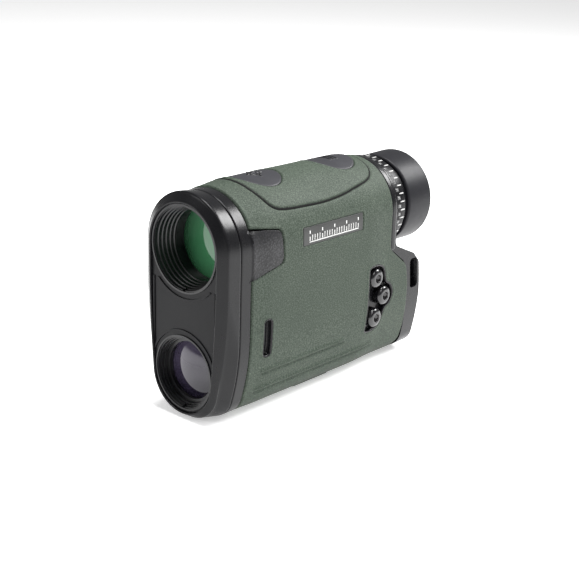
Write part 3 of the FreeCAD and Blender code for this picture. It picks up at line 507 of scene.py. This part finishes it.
def armour_height(s, x, z, w, seam_depth=0.7):
    """How far the armour stands off its plain surface, in millimetres.

    s is behind the front, x across, z above the axis and w the distance round from the top middle.
    """
    h = np.zeros(s.shape)
    right = x > 0
    seam = signed_distance(w, s, SEAM)
    h += 0.22 * falls(seam, 0.7) * (z > 0)
    h -= seam_depth * np.exp(-(seam / 0.42) ** 2) * (z > 0)
    h -= 0.75 * np.exp(-((np.abs(w) - 13.0) / 4.6) ** 2 - ((s - 54.0) / 9.5) ** 2)
    for _, at in BUTTONS:
        rim = np.hypot(x, s - at) - BUTTON_RADIUS - 0.12
        h += np.where(z > 0, 0.10 * np.exp(-((rim - 0.7) / 0.5) ** 2) - 1.3 * falls(rim, 0.4), 0)
    side = np.abs(z + 15.0) < 35.0
    for outline, depth, edge in ((TAB, 1.7, 0.45), (BADGE, 0.55, 0.3), (SLOT, 2.4, 0.45)):
        away = signed_distance(s, z, outline)
        h -= np.where(side & (np.abs(x) > 10), depth * falls(away - 0.18, edge), 0)
        h += np.where(side & (np.abs(x) > 10), 0.10 * np.exp(-((away - 0.75) / 0.45) ** 2), 0)
    away = signed_distance(s, z, CLIP)
    h -= np.where(right & side, 4.2 * falls(away - 0.1, 0.6), 0)
    h += np.where(right & side, 0.16 * np.exp(-((away - 1.2) / 0.5) ** 2), 0)
    for level, start, stop in RIBS:
        ends = smooth((s - start) / 1.5) * smooth((stop - s) / 1.5)
        h += 0.55 * np.exp(-((z - level) / 0.50) ** 2) * ends * (np.abs(x) > 8)
        h -= 0.45 * np.exp(-((z - level + 1.15) / 0.45) ** 2) * ends * (np.abs(x) > 8)
    under = z < -50.0
    boss = np.maximum(np.abs(x) - 9.4, np.abs(s - BOSS_MIDDLE) - 9.9)
    h += np.where(under, 1.05 * falls(boss + 0.3, 0.7), 0)
    socket = np.hypot(x, s - BOSS_MIDDLE) - 5.1
    h -= np.where(under, 3.0 * falls(socket, 0.35), 0)
    return h


def armour_end(z):
    """Where the armour's rear edge is, behind the front, at each height."""
    levels = (-60.0, -57.9, -55.5, -52.0, -46.8, -29.6, -22.6, -20.6, -19.6, -14.6, -13.4, -12.0, 30.0)
    ends = (96.0, 97.5, 100.2, 101.4, 101.4, 100.1, 98.9, 97.6, 96.2, 89.6, 88.6, 88.2, 88.2)
    return np.interp(z, levels, ends)


def tab_end(z):
    """Where the collar ends at each height: far back in its tabs, at 12.9 elsewhere."""
    levels = (-60.0, -8.8, -8.6, -6.6, -6.0, -5.0, -3.5, 0.0, 3.0, 4.6, 5.4, 5.8, 7.9, 8.1, 30.0)
    ends = (12.9, 12.9, 14.3, 24.0, 26.4, 27.6, 27.9, 27.5, 27.2, 26.9, 26.0, 24.6, 13.4, 12.9, 12.9)
    return np.interp(z, levels, ends)


def body_skin(name, start, end, spacing, front_roll, rear_roll, height, paint=None, **rest):
    """A skin round the body, from start to an end that depends on height, rolled in at both edges.

    Rolls are (from the edge, drop) pairs, and paint picks a material from each face's depth and place.
    """
    column = np.arange(COUNT)
    finish = end(HEIGHTS)
    rows = int(round((float(finish.max()) - start) / spacing))
    middle = np.linspace(0, 1, rows)
    first, last = front_roll[-1][0], rear_roll[0][0]
    along = (start + first) + (finish - last - start - first)[None, :] * middle[:, None]
    drops = np.zeros(along.shape)
    lead = np.array([start + at for at, _ in front_roll[:-1]])[:, None] + 0 * finish[None, :]
    trail = finish[None, :] - np.array([at for at, _ in rear_roll[1:]])[:, None]
    along = np.concatenate((lead, along, trail))
    drops = np.concatenate((np.array([drop for _, drop in front_roll[:-1]])[:, None] + 0 * lead, drops,
                            np.array([drop for _, drop in rear_roll[1:]])[:, None] + 0 * trail))
    columns = np.broadcast_to(column, along.shape)
    point, normal = on_body(along, columns)
    lift = height(along, point[..., 0], point[..., 1], np.broadcast_to(LENGTHS, along.shape)) + drops
    x = point[..., 0] + lift * normal[..., 0]
    z = point[..., 1] + lift * normal[..., 1]
    points = np.stack((x, along, z), -1).reshape(-1, 3)
    faces = grid_faces(len(along), COUNT)
    depth = (lift - drops).reshape(-1)[faces].mean(1)
    behind = along.reshape(-1)[faces].mean(1)
    indices = paint(depth, behind).astype(int) if paint else None
    return mesh_piece(name, points, faces.tolist(), "case", indices=indices, **rest)


def make_armour():
    """The rubber armour and the top panel as one skin, black where it is cut deep."""
    body_skin("armour_skin", 13.05, armour_end, 0.36,
              ((0.0, -1.9), (0.0, -0.5), (0.08, -0.22), (0.25, -0.06), (0.5, 0.0)),
              ((0.5, 0.0), (0.25, -0.08), (0.08, -0.28), (0.0, -0.6), (0.0, -1.6)), armour_height,
              lambda depth, behind: depth < -0.9, slot="green_armour",
              materials=["green_armour", "black_shell"], replaced=("armour", "top_panel"))


def rim_height(_s, _x, z, _w):
    """The rear rim stands over the frame beside the eyepiece and sinks into it lower down."""
    return -0.42 - 5.0 * smooth((-14.0 - z) / 3.0)


def make_rim():
    """The rounded rim between the armour and the dial."""
    body_skin("rear_rim", 88.3, lambda z: np.full(z.shape, 91.75), 0.4,
              ((0.0, -1.4), (0.0, -0.5), (0.12, -0.26), (0.4, -0.10), (0.9, 0.0)),
              ((1.1, 0.0), (0.6, -0.10), (0.25, -0.3), (0.06, -0.6), (0.0, -1.4)), rim_height,
              slot="black_shell", materials=["black_shell"])


def collar_height(s, _x, _z, _w):
    """The collar is flush with the bezel; its tabs sit just under the armour's surface."""
    return -0.14 * smooth((s - 13.0) / 4.0)


def make_collar():
    """The collar behind the bezel, with pebbled rubber on its tabs."""
    body_skin("collar_skin", 8.08, tab_end, 0.42,
              ((0.0, -1.2), (0.0, -0.35), (0.06, -0.16), (0.2, -0.04), (0.4, 0.0)),
              ((0.45, 0.0), (0.22, -0.06), (0.07, -0.22), (0.0, -0.5), (0.0, -1.5)), collar_height,
              lambda depth, behind: behind > 13.4, slot="black_shell",
              materials=["black_shell", "tab_rubber"], replaced=("front_collar",))


def make_bezel():
    """The front bezel, as rows of (behind, outline, growth) from its opening, over its lip, to its back."""
    oval = {"side_start": 5.0, "side_radius": 400.0}
    opening = {"radius": 15.2, "centre": 0.0, "bottom": 56.7, "corner": 13.1, **oval}
    front = {"radius": 15.9, "centre": 0.0, "bottom": 57.4, "corner": 13.8, **oval}
    lip = {"radius": 18.7, "centre": 0.1, "bottom": 58.5, "side_start": 12.0, "side_radius": 160.0,
           "corner": 12.5}
    back = {**CASE, "side_start": 28.0, "side_radius": 80.0, "corner": 9.5}
    edge = {key: 0.5 * (lip[key] + back[key]) for key in lip}

    def between(one, two, mix):
        return {key: one[key] + (two[key] - one[key]) * mix for key in one}

    rows = [(3.4, opening, 0.0), (0.4, opening, 0.0), (0.15, opening, 0.04), (0.02, opening, 0.16),
            (0.0, opening, 0.3), (0.0, front, -0.22), (0.03, front, -0.1), (0.14, front, 0.02)]
    for mix in (0.12, 0.3, 0.5, 0.7, 0.85):
        rows.append((0.14 + 2.06 * mix, between(front, lip, mix), 0.0))
    rows += [(2.05, lip, -0.05), (2.3, lip, 0.03), (2.7, lip, 0.08)]
    for mix in (0.15, 0.35, 0.55, 0.75, 0.92):
        at = 2.7 + 4.7 * mix
        half = between(lip, edge, mix * 2) if mix < 0.5 else between(edge, back, mix * 2 - 1)
        rows.append((at, half, 0.08 * (1 - mix)))
    rows += [(7.45, back, 0.0), (7.7, back, -0.05), (7.82, back, -0.16), (7.86, back, -0.35),
             (7.86, back, -1.4)]
    points = []
    for at, sizes, grow in rows:
        outline = ring(**sizes)
        outline = outline + ring_normals(outline) * grow
        points.append(np.stack((outline[:, 0], np.full(COUNT, at), outline[:, 1]), -1))
    faces = grid_faces(len(points), COUNT)
    mesh_piece("bezel_skin", np.concatenate(points), faces.tolist(), "case", "black_shell", ["black_shell"],
               replaced=("front_bezel",))


def icon_distance(kind, x, y):
    """Distance to a pictogram's strokes: a sighting mark, or three bars."""
    strokes = []
    if kind == "front":
        strokes.append(np.abs(np.hypot(x, y) - 2.1))
        for angle in range(0, 360, 90):
            c, s = math.cos(math.radians(angle)), math.sin(math.radians(angle))
            t = np.clip(x * c + y * s, 1.3, 3.4)
            strokes.append(np.hypot(x - t * c, y - t * s))
    else:
        for level in (-1.7, 0.0, 1.7):
            strokes.append(np.hypot(x - np.clip(x, -2.5, 2.5), y - level))
    return np.minimum.reduce(strokes)


def make_buttons():
    """Soft pads that follow the top's curve, each with a raised pictogram."""
    for name, at in BUTTONS:
        spokes, turns = 300, np.linspace(0, 2 * math.pi, 300, endpoint=False)
        reach = np.concatenate((np.linspace(0.02, 4.2, 44), np.linspace(4.3, BUTTON_RADIUS - 0.5, 26),
                                BUTTON_RADIUS - np.array([0.3, 0.15, 0.05, 0.0, 0.0])))
        drop = np.concatenate((np.zeros(70), [-0.03, -0.1, -0.22, -0.42, -1.5]))
        x = reach[:, None] * np.sin(turns)
        y = reach[:, None] * np.cos(turns)
        top = ARMOUR["centre"] + np.sqrt(ARMOUR["radius"] ** 2 - x ** 2)
        far = smooth((reach / BUTTON_RADIUS))[:, None]
        height = 0.12 + 0.16 * (1 - far) + drop[:, None]
        icon = icon_distance(name, x, -y)
        height = height + 0.26 * falls(icon - 0.34, 0.28)
        points = np.stack((x, at + y, top + height), -1).reshape(-1, 3)
        quads = grid_faces(len(reach), spokes)
        inked = (icon.reshape(-1)[quads].mean(1) < 0.34).astype(int).tolist() + [0]
        faces = quads.tolist() + [list(range(spokes))[::-1]]
        mesh_piece(f"{name}_pad", points, faces, f"{name}_button", "button_rubber",
                   ["button_rubber", "black_shell"], inked, (f"{name}_button",))


def skin_points(s, column, side, lift):
    """Points off the body at distances behind the front and part-way columns, on one side."""
    low = np.minimum(np.floor(column).astype(int), COUNT // 2)
    mix = (column - low)[:, None]
    one, normal_one = on_body(s, low)
    two, normal_two = on_body(s, np.minimum(low + 1, COUNT // 2))
    point = one * (1 - mix) + two * mix
    normal = normal_one * (1 - mix) + normal_two * mix
    point = point + normal * np.reshape(lift, (-1, 1))
    return np.stack((side * point[:, 0], s, point[:, 1]), -1)


def flank_points(s, z, side, lift):
    """Points on the flank at these distances behind the front and heights, lifted off the armour."""
    half = COUNT // 2
    order = np.argsort(HEIGHTS[:half])
    return skin_points(s, np.interp(z, HEIGHTS[:half][order], np.arange(half)[order]), side, lift)


def evenly(outline, spacing):
    """A closed outline resampled at an even spacing, with its outward normals."""
    outline = np.asarray(outline, float)
    closed = np.concatenate((outline, outline[:1]))
    run = np.concatenate(((0.0,), np.cumsum(np.linalg.norm(np.diff(closed, axis=0), axis=1))))
    at = np.linspace(0, run[-1], int(run[-1] / spacing), endpoint=False)
    points = np.stack((np.interp(at, run, closed[:, 0]), np.interp(at, run, closed[:, 1])), 1)
    ahead = np.roll(points, -2, 0) - np.roll(points, 2, 0)
    normal = np.stack((ahead[:, 1], -ahead[:, 0]), 1)
    normal /= np.linalg.norm(normal, axis=1, keepdims=True)
    x, y = points.T
    turning = np.sum(x * np.roll(y, -1) - np.roll(x, -1) * y)
    return points, normal * np.sign(turning)


def inlay(name, side, outline, rows, material, slot, replaced=(), spine=()):
    """A plate or dish on the flank: rows of (distance outside the outline, height off the armour).

    With a spine, (from, to, level), the last row closes onto that line instead of a flat cap.
    """
    points, normals = evenly(outline, 0.3)
    rings = [flank_points(*(points + normals * grow).T, side, lift) for grow, lift in rows]
    if spine:
        start, stop, level = spine
        rim = points + normals * rows[-1][0]
        bone = np.stack((np.clip(rim[:, 0], start, stop), np.full(len(rim), level)), 1)
        rings += [flank_points(*(rim + (bone - rim) * mix).T, side, rows[-1][1])
                  for mix in (0.25, 0.5, 0.75, 0.999)]
    count = len(points)
    faces = grid_faces(len(rings), count).tolist()
    last = (len(rings) - 1) * count
    faces.append([last + i for i in range(count)])
    return mesh_piece(name, np.concatenate(rings), faces, "case", slot, [material], replaced=replaced)


POCKET_WALL = ((0.62, -0.35), (0.60, -0.02), (0.52, 0.06), (0.30, 0.08), (0.05, 0.0), (-0.12, -0.2),
               (-0.2, -0.6), (-0.3, -3.0), (-0.7, -3.2))
SLOT_WALL = ((0.42, -0.3), (0.40, -0.01), (0.32, 0.04), (0.1, 0.0), (-0.1, -0.2), (-0.2, -0.5),
             (-0.35, -1.9), (-0.6, -2.0))


def make_recesses():
    """Clean black linings of the clip pocket and the side slots, and a dark strip of painted shade along the
    top panel's seam.
    """
    inlay("clip_pocket", 1, CLIP, POCKET_WALL, "black_shell", "black_shell")
    for label, side in (("right", 1), ("left", -1)):
        inlay(f"slot_{label}", side, SLOT, SLOT_WALL, "black_shell", "black_shell")
    # A dark matte ribbon over the seam's groove: painted shade standing for the shadow in the groove.
    points, normals = evenly(SEAM, 0.3)
    half = COUNT // 2
    rows = []
    across = ((-0.27, -0.5), (-0.25, -0.16), (-0.1, -0.24), (0.1, -0.24), (0.25, -0.16), (0.27, -0.5))
    for offset, sink in across:
        w, s = (points + normals * offset).T
        column = np.interp(np.abs(w), LENGTHS[:half], np.arange(half))
        base = skin_points(s, column, np.sign(w), np.zeros(len(s)))
        lift = armour_height(s, base[:, 0], base[:, 2], w, 0.0) + sink
        rows.append(skin_points(s, column, np.sign(w), lift))
    mesh_piece("painted_seam_shade", np.concatenate(rows), grid_faces(len(rows), len(points)).tolist(),
               "case", "black_shell", ["ring_rubber"])


def make_screws():
    """Domed heads of the belt clip's screws: rows of (across, radius, share of hexagon in the socket)."""
    rows = ((15.5, 2.0, 0), (16.5, 3.4, 0), (16.7, 3.6, 0), (18.3, 3.6, 0), (18.9, 3.45, 0), (19.35, 3.05, 0),
            (19.6, 2.4, 0), (19.7, 1.75, 0), (19.65, 1.5, 0.6), (19.5, 1.4, 1), (18.2, 1.38, 1),
            (18.1, 0.02, 1))
    turns = np.linspace(0, 2 * math.pi, HEAD_SEGMENTS, endpoint=False)
    hexagon = 1 / np.cos((turns + math.pi / 6) % (math.pi / 3) - math.pi / 6)
    faces = grid_faces(len(rows), HEAD_SEGMENTS).tolist()
    for i, (s, z) in enumerate(CLIP_SCREWS, start=1):
        points = []
        for x, radius, sides in rows:
            reach = radius * (1 + sides * (hexagon - 1))
            level = np.full(HEAD_SEGMENTS, x)
            points.append(np.stack((level, s + reach * np.cos(turns), z + reach * np.sin(turns)), -1))
        mesh_piece(f"clip_head_{i}", np.concatenate(points), faces, "case", "black_screw", ["black_screw"],
                   replaced=(f"clip_screw_{i}",))


def make_eyepiece():
    """Dioptre dial with its printed marks, and the soft eyecup."""
    lathe("dial_skin", eased([(92.0, 12.7), (92.0, 17.5), (97.2, 17.45), (97.7, 16.6), (97.7, 15.9),
                              (100.3, 15.9), (100.3, 12.7)], 0.35), "dioptre_dial", "dial_black",
          ("dioptre_dial",))
    dial_marks("dial_marks", "white_print", 0, 94.5, 96.8, 0.2)
    # Raised grips between the ticks, coloured grey as painted sheen for the highlights they catch.
    dial_marks("dial_grips", "grip_painted_sheen", 5, 92.9, 94.5, 0.6)
    lathe("eyecup_skin", eased([(100.6, 14.75), (100.6, 16.95), (106.0, 17.2), (114.3, 17.35), (114.3, 13.0),
                                (111.0, 13.0), (111.0, 14.75)], 1.1, 7),
          "eyecup", "eyecup_rubber", ("eyecup",))


def dial_marks(name, material, first, start, stop, half):
    """A raised bar every ten degrees round the dial, from the first angle on."""
    points, faces = [], []
    for degrees in range(first, 360, 10):
        dial_mark(points, faces, degrees, start, stop, half)
    mesh_piece(name, np.array(points), faces, "dioptre_dial", "dial_black", [material])


def dial_mark(points, faces, degrees, start, stop, half):
    """One raised bar along the dial."""
    middle = math.radians(degrees)
    base = len(points)
    for radius in (17.3, 17.55):
        for s, side in ((start, -1), (start, 1), (stop, 1), (stop, -1)):
            turn = middle + side * half / radius
            points.append((radius * math.sin(turn), s, radius * math.cos(turn)))
    faces.append([base + 4, base + 5, base + 6, base + 7])
    for i in range(4):
        j = (i + 1) % 4
        faces.append([base + i, base + j, base + 4 + j, base + 4 + i])


SCALE_TICKS = 21
SCALE_START = 40.4
SCALE_STEP = 1.3
SCALE_FOOT = -0.9
LONG_TICK = (0.5, 3.6)
SHORT_TICK = (0.34, 2.0)
BADGE_EDGE = ((-0.02, -0.6), (-0.02, -0.2), (-0.08, -0.13), (-0.2, -0.1), (-0.5, -0.1))


def make_badges():
    """Dark plates in the flanks with a printed range scale."""
    for label, side in (("right", 1), ("left", -1)):
        inlay(f"badge_plate_{label}", side, BADGE, BADGE_EDGE, "badge_grey", "badge_grey",
              (f"badge_{label}",), (40.4, 66.4, 0.85))
        marks, faces = [], []
        for i in range(SCALE_TICKS):
            at = SCALE_START + i * SCALE_STEP
            wide, tall = LONG_TICK if i % 5 == 0 else SHORT_TICK
            add_bar(marks, faces, side, at, at + wide, SCALE_FOOT, SCALE_FOOT + tall)
        add_bar(marks, faces, side, SCALE_START, 66.9, -1.45, -1.1)
        mesh_piece(f"badge_scale_{label}", np.array(marks), faces, "case", "badge_grey", ["white_print"])


def add_bar(points, faces, side, start, stop, low, high):
    """A raised printed bar on the badge plate."""
    steps = max(1, int((stop - start) / 1.5))
    edge = [(start + (stop - start) * i / steps, low) for i in range(steps + 1)]
    edge += [(stop - (stop - start) * i / steps, high) for i in range(steps + 1)]
    s, z = np.array(edge).T
    for lift in (-0.2, -0.04):
        base = len(points)
        points.extend(flank_points(s, z, side, lift).tolist())
    count = len(edge)
    top, bottom = base, base - count
    for i in range(steps):
        faces.append([top + i, top + i + 1, top + count - 2 - i, top + count - 1 - i])
    for i in range(count):
        j = (i + 1) % count
        faces.append([bottom + i, bottom + j, top + j, top + i])


make_armour()
make_rim()
make_collar()
make_bezel()
make_buttons()
make_badges()
make_recesses()
make_screws()
make_eyepiece()


# ---------------------------------------------------------------- studio

CAMERA_ANGLES = (40.97, 18.13, 1.77)
CAMERA_PLACE = (0.27342, -0.32016, 0.1715)


def studio():
    """Pale floor, soft lights and the camera."""
    bpy.ops.mesh.primitive_plane_add(size=6.0, location=(0, 0, 0))
    floor = bpy.context.object
    floor.name = "floor"
    shade = Shade("floor")
    grain = shade.noise(40.0)
    shade.link(shade.ramp(grain, ((0.3, (0.93, 0.93, 0.93)), (0.7, (0.95, 0.95, 0.95)))),
               shade.shader.inputs["Base Color"])
    shade.set(Roughness=0.7, Emission_Color=(1, 1, 1, 1), Emission_Strength=0.45)
    floor.data.materials.append(shade.material)

    world = bpy.data.worlds.new("studio")
    world.use_nodes = True
    world.node_tree.nodes["Background"].inputs["Color"].default_value = (1, 1, 1, 1)
    world.node_tree.nodes["Background"].inputs["Strength"].default_value = 0.30
    bpy.context.scene.world = world
    bpy.context.scene.view_settings.view_transform = "Standard"

    def lamp(name, at, towards, size, power):
        light = bpy.data.lights.new(name, "AREA")
        light.shape = "RECTANGLE"
        light.size, light.size_y = size
        light.energy = power
        owner = bpy.data.objects.new(name, light)
        owner.location = at
        owner.rotation_euler = (Vector(towards) - Vector(at)).to_track_quat("-Z", "Y").to_euler()
        bpy.context.collection.objects.link(owner)

    lamp("top_light", (0.0, 0.05, 0.90), (0, 0, 0.04), (0.35, 0.35), 10.0)
    lamp("back_light", (0.30, 0.65, 0.60), (0, 0, 0.05), (0.4, 0.3), 9.0)
    lamp("key_light", (0.45, -0.10, 0.55), (0, 0, 0.04), (0.1, 0.4), 1.2)
    lamp("front_light", (-0.30, -0.55, 0.30), (0, 0, 0.04), (0.2, 0.3), 0.8)

    camera = bpy.data.objects.new("camera", bpy.data.cameras.new("camera"))
    bpy.context.collection.objects.link(camera)
    bpy.context.scene.camera = camera
    yaw, pitch, roll = (math.radians(angle) for angle in CAMERA_ANGLES)
    back = Vector((math.sin(yaw) * math.cos(pitch), -math.cos(yaw) * math.cos(pitch), math.sin(pitch)))
    right = Vector((math.cos(yaw), math.sin(yaw), 0))
    above = back.cross(right)
    tilted_right = right * math.cos(roll) + above * math.sin(roll)
    tilted_up = above * math.cos(roll) - right * math.sin(roll)
    turn = Matrix((tilted_right, tilted_up, back)).transposed().to_4x4()
    camera.matrix_world = Matrix.Translation(CAMERA_PLACE) @ turn
    camera.data.sensor_width = 36.0
    camera.data.lens = 76.13
    camera.data.shift_x = 0.00485
    camera.data.shift_y = -0.00587


studio()
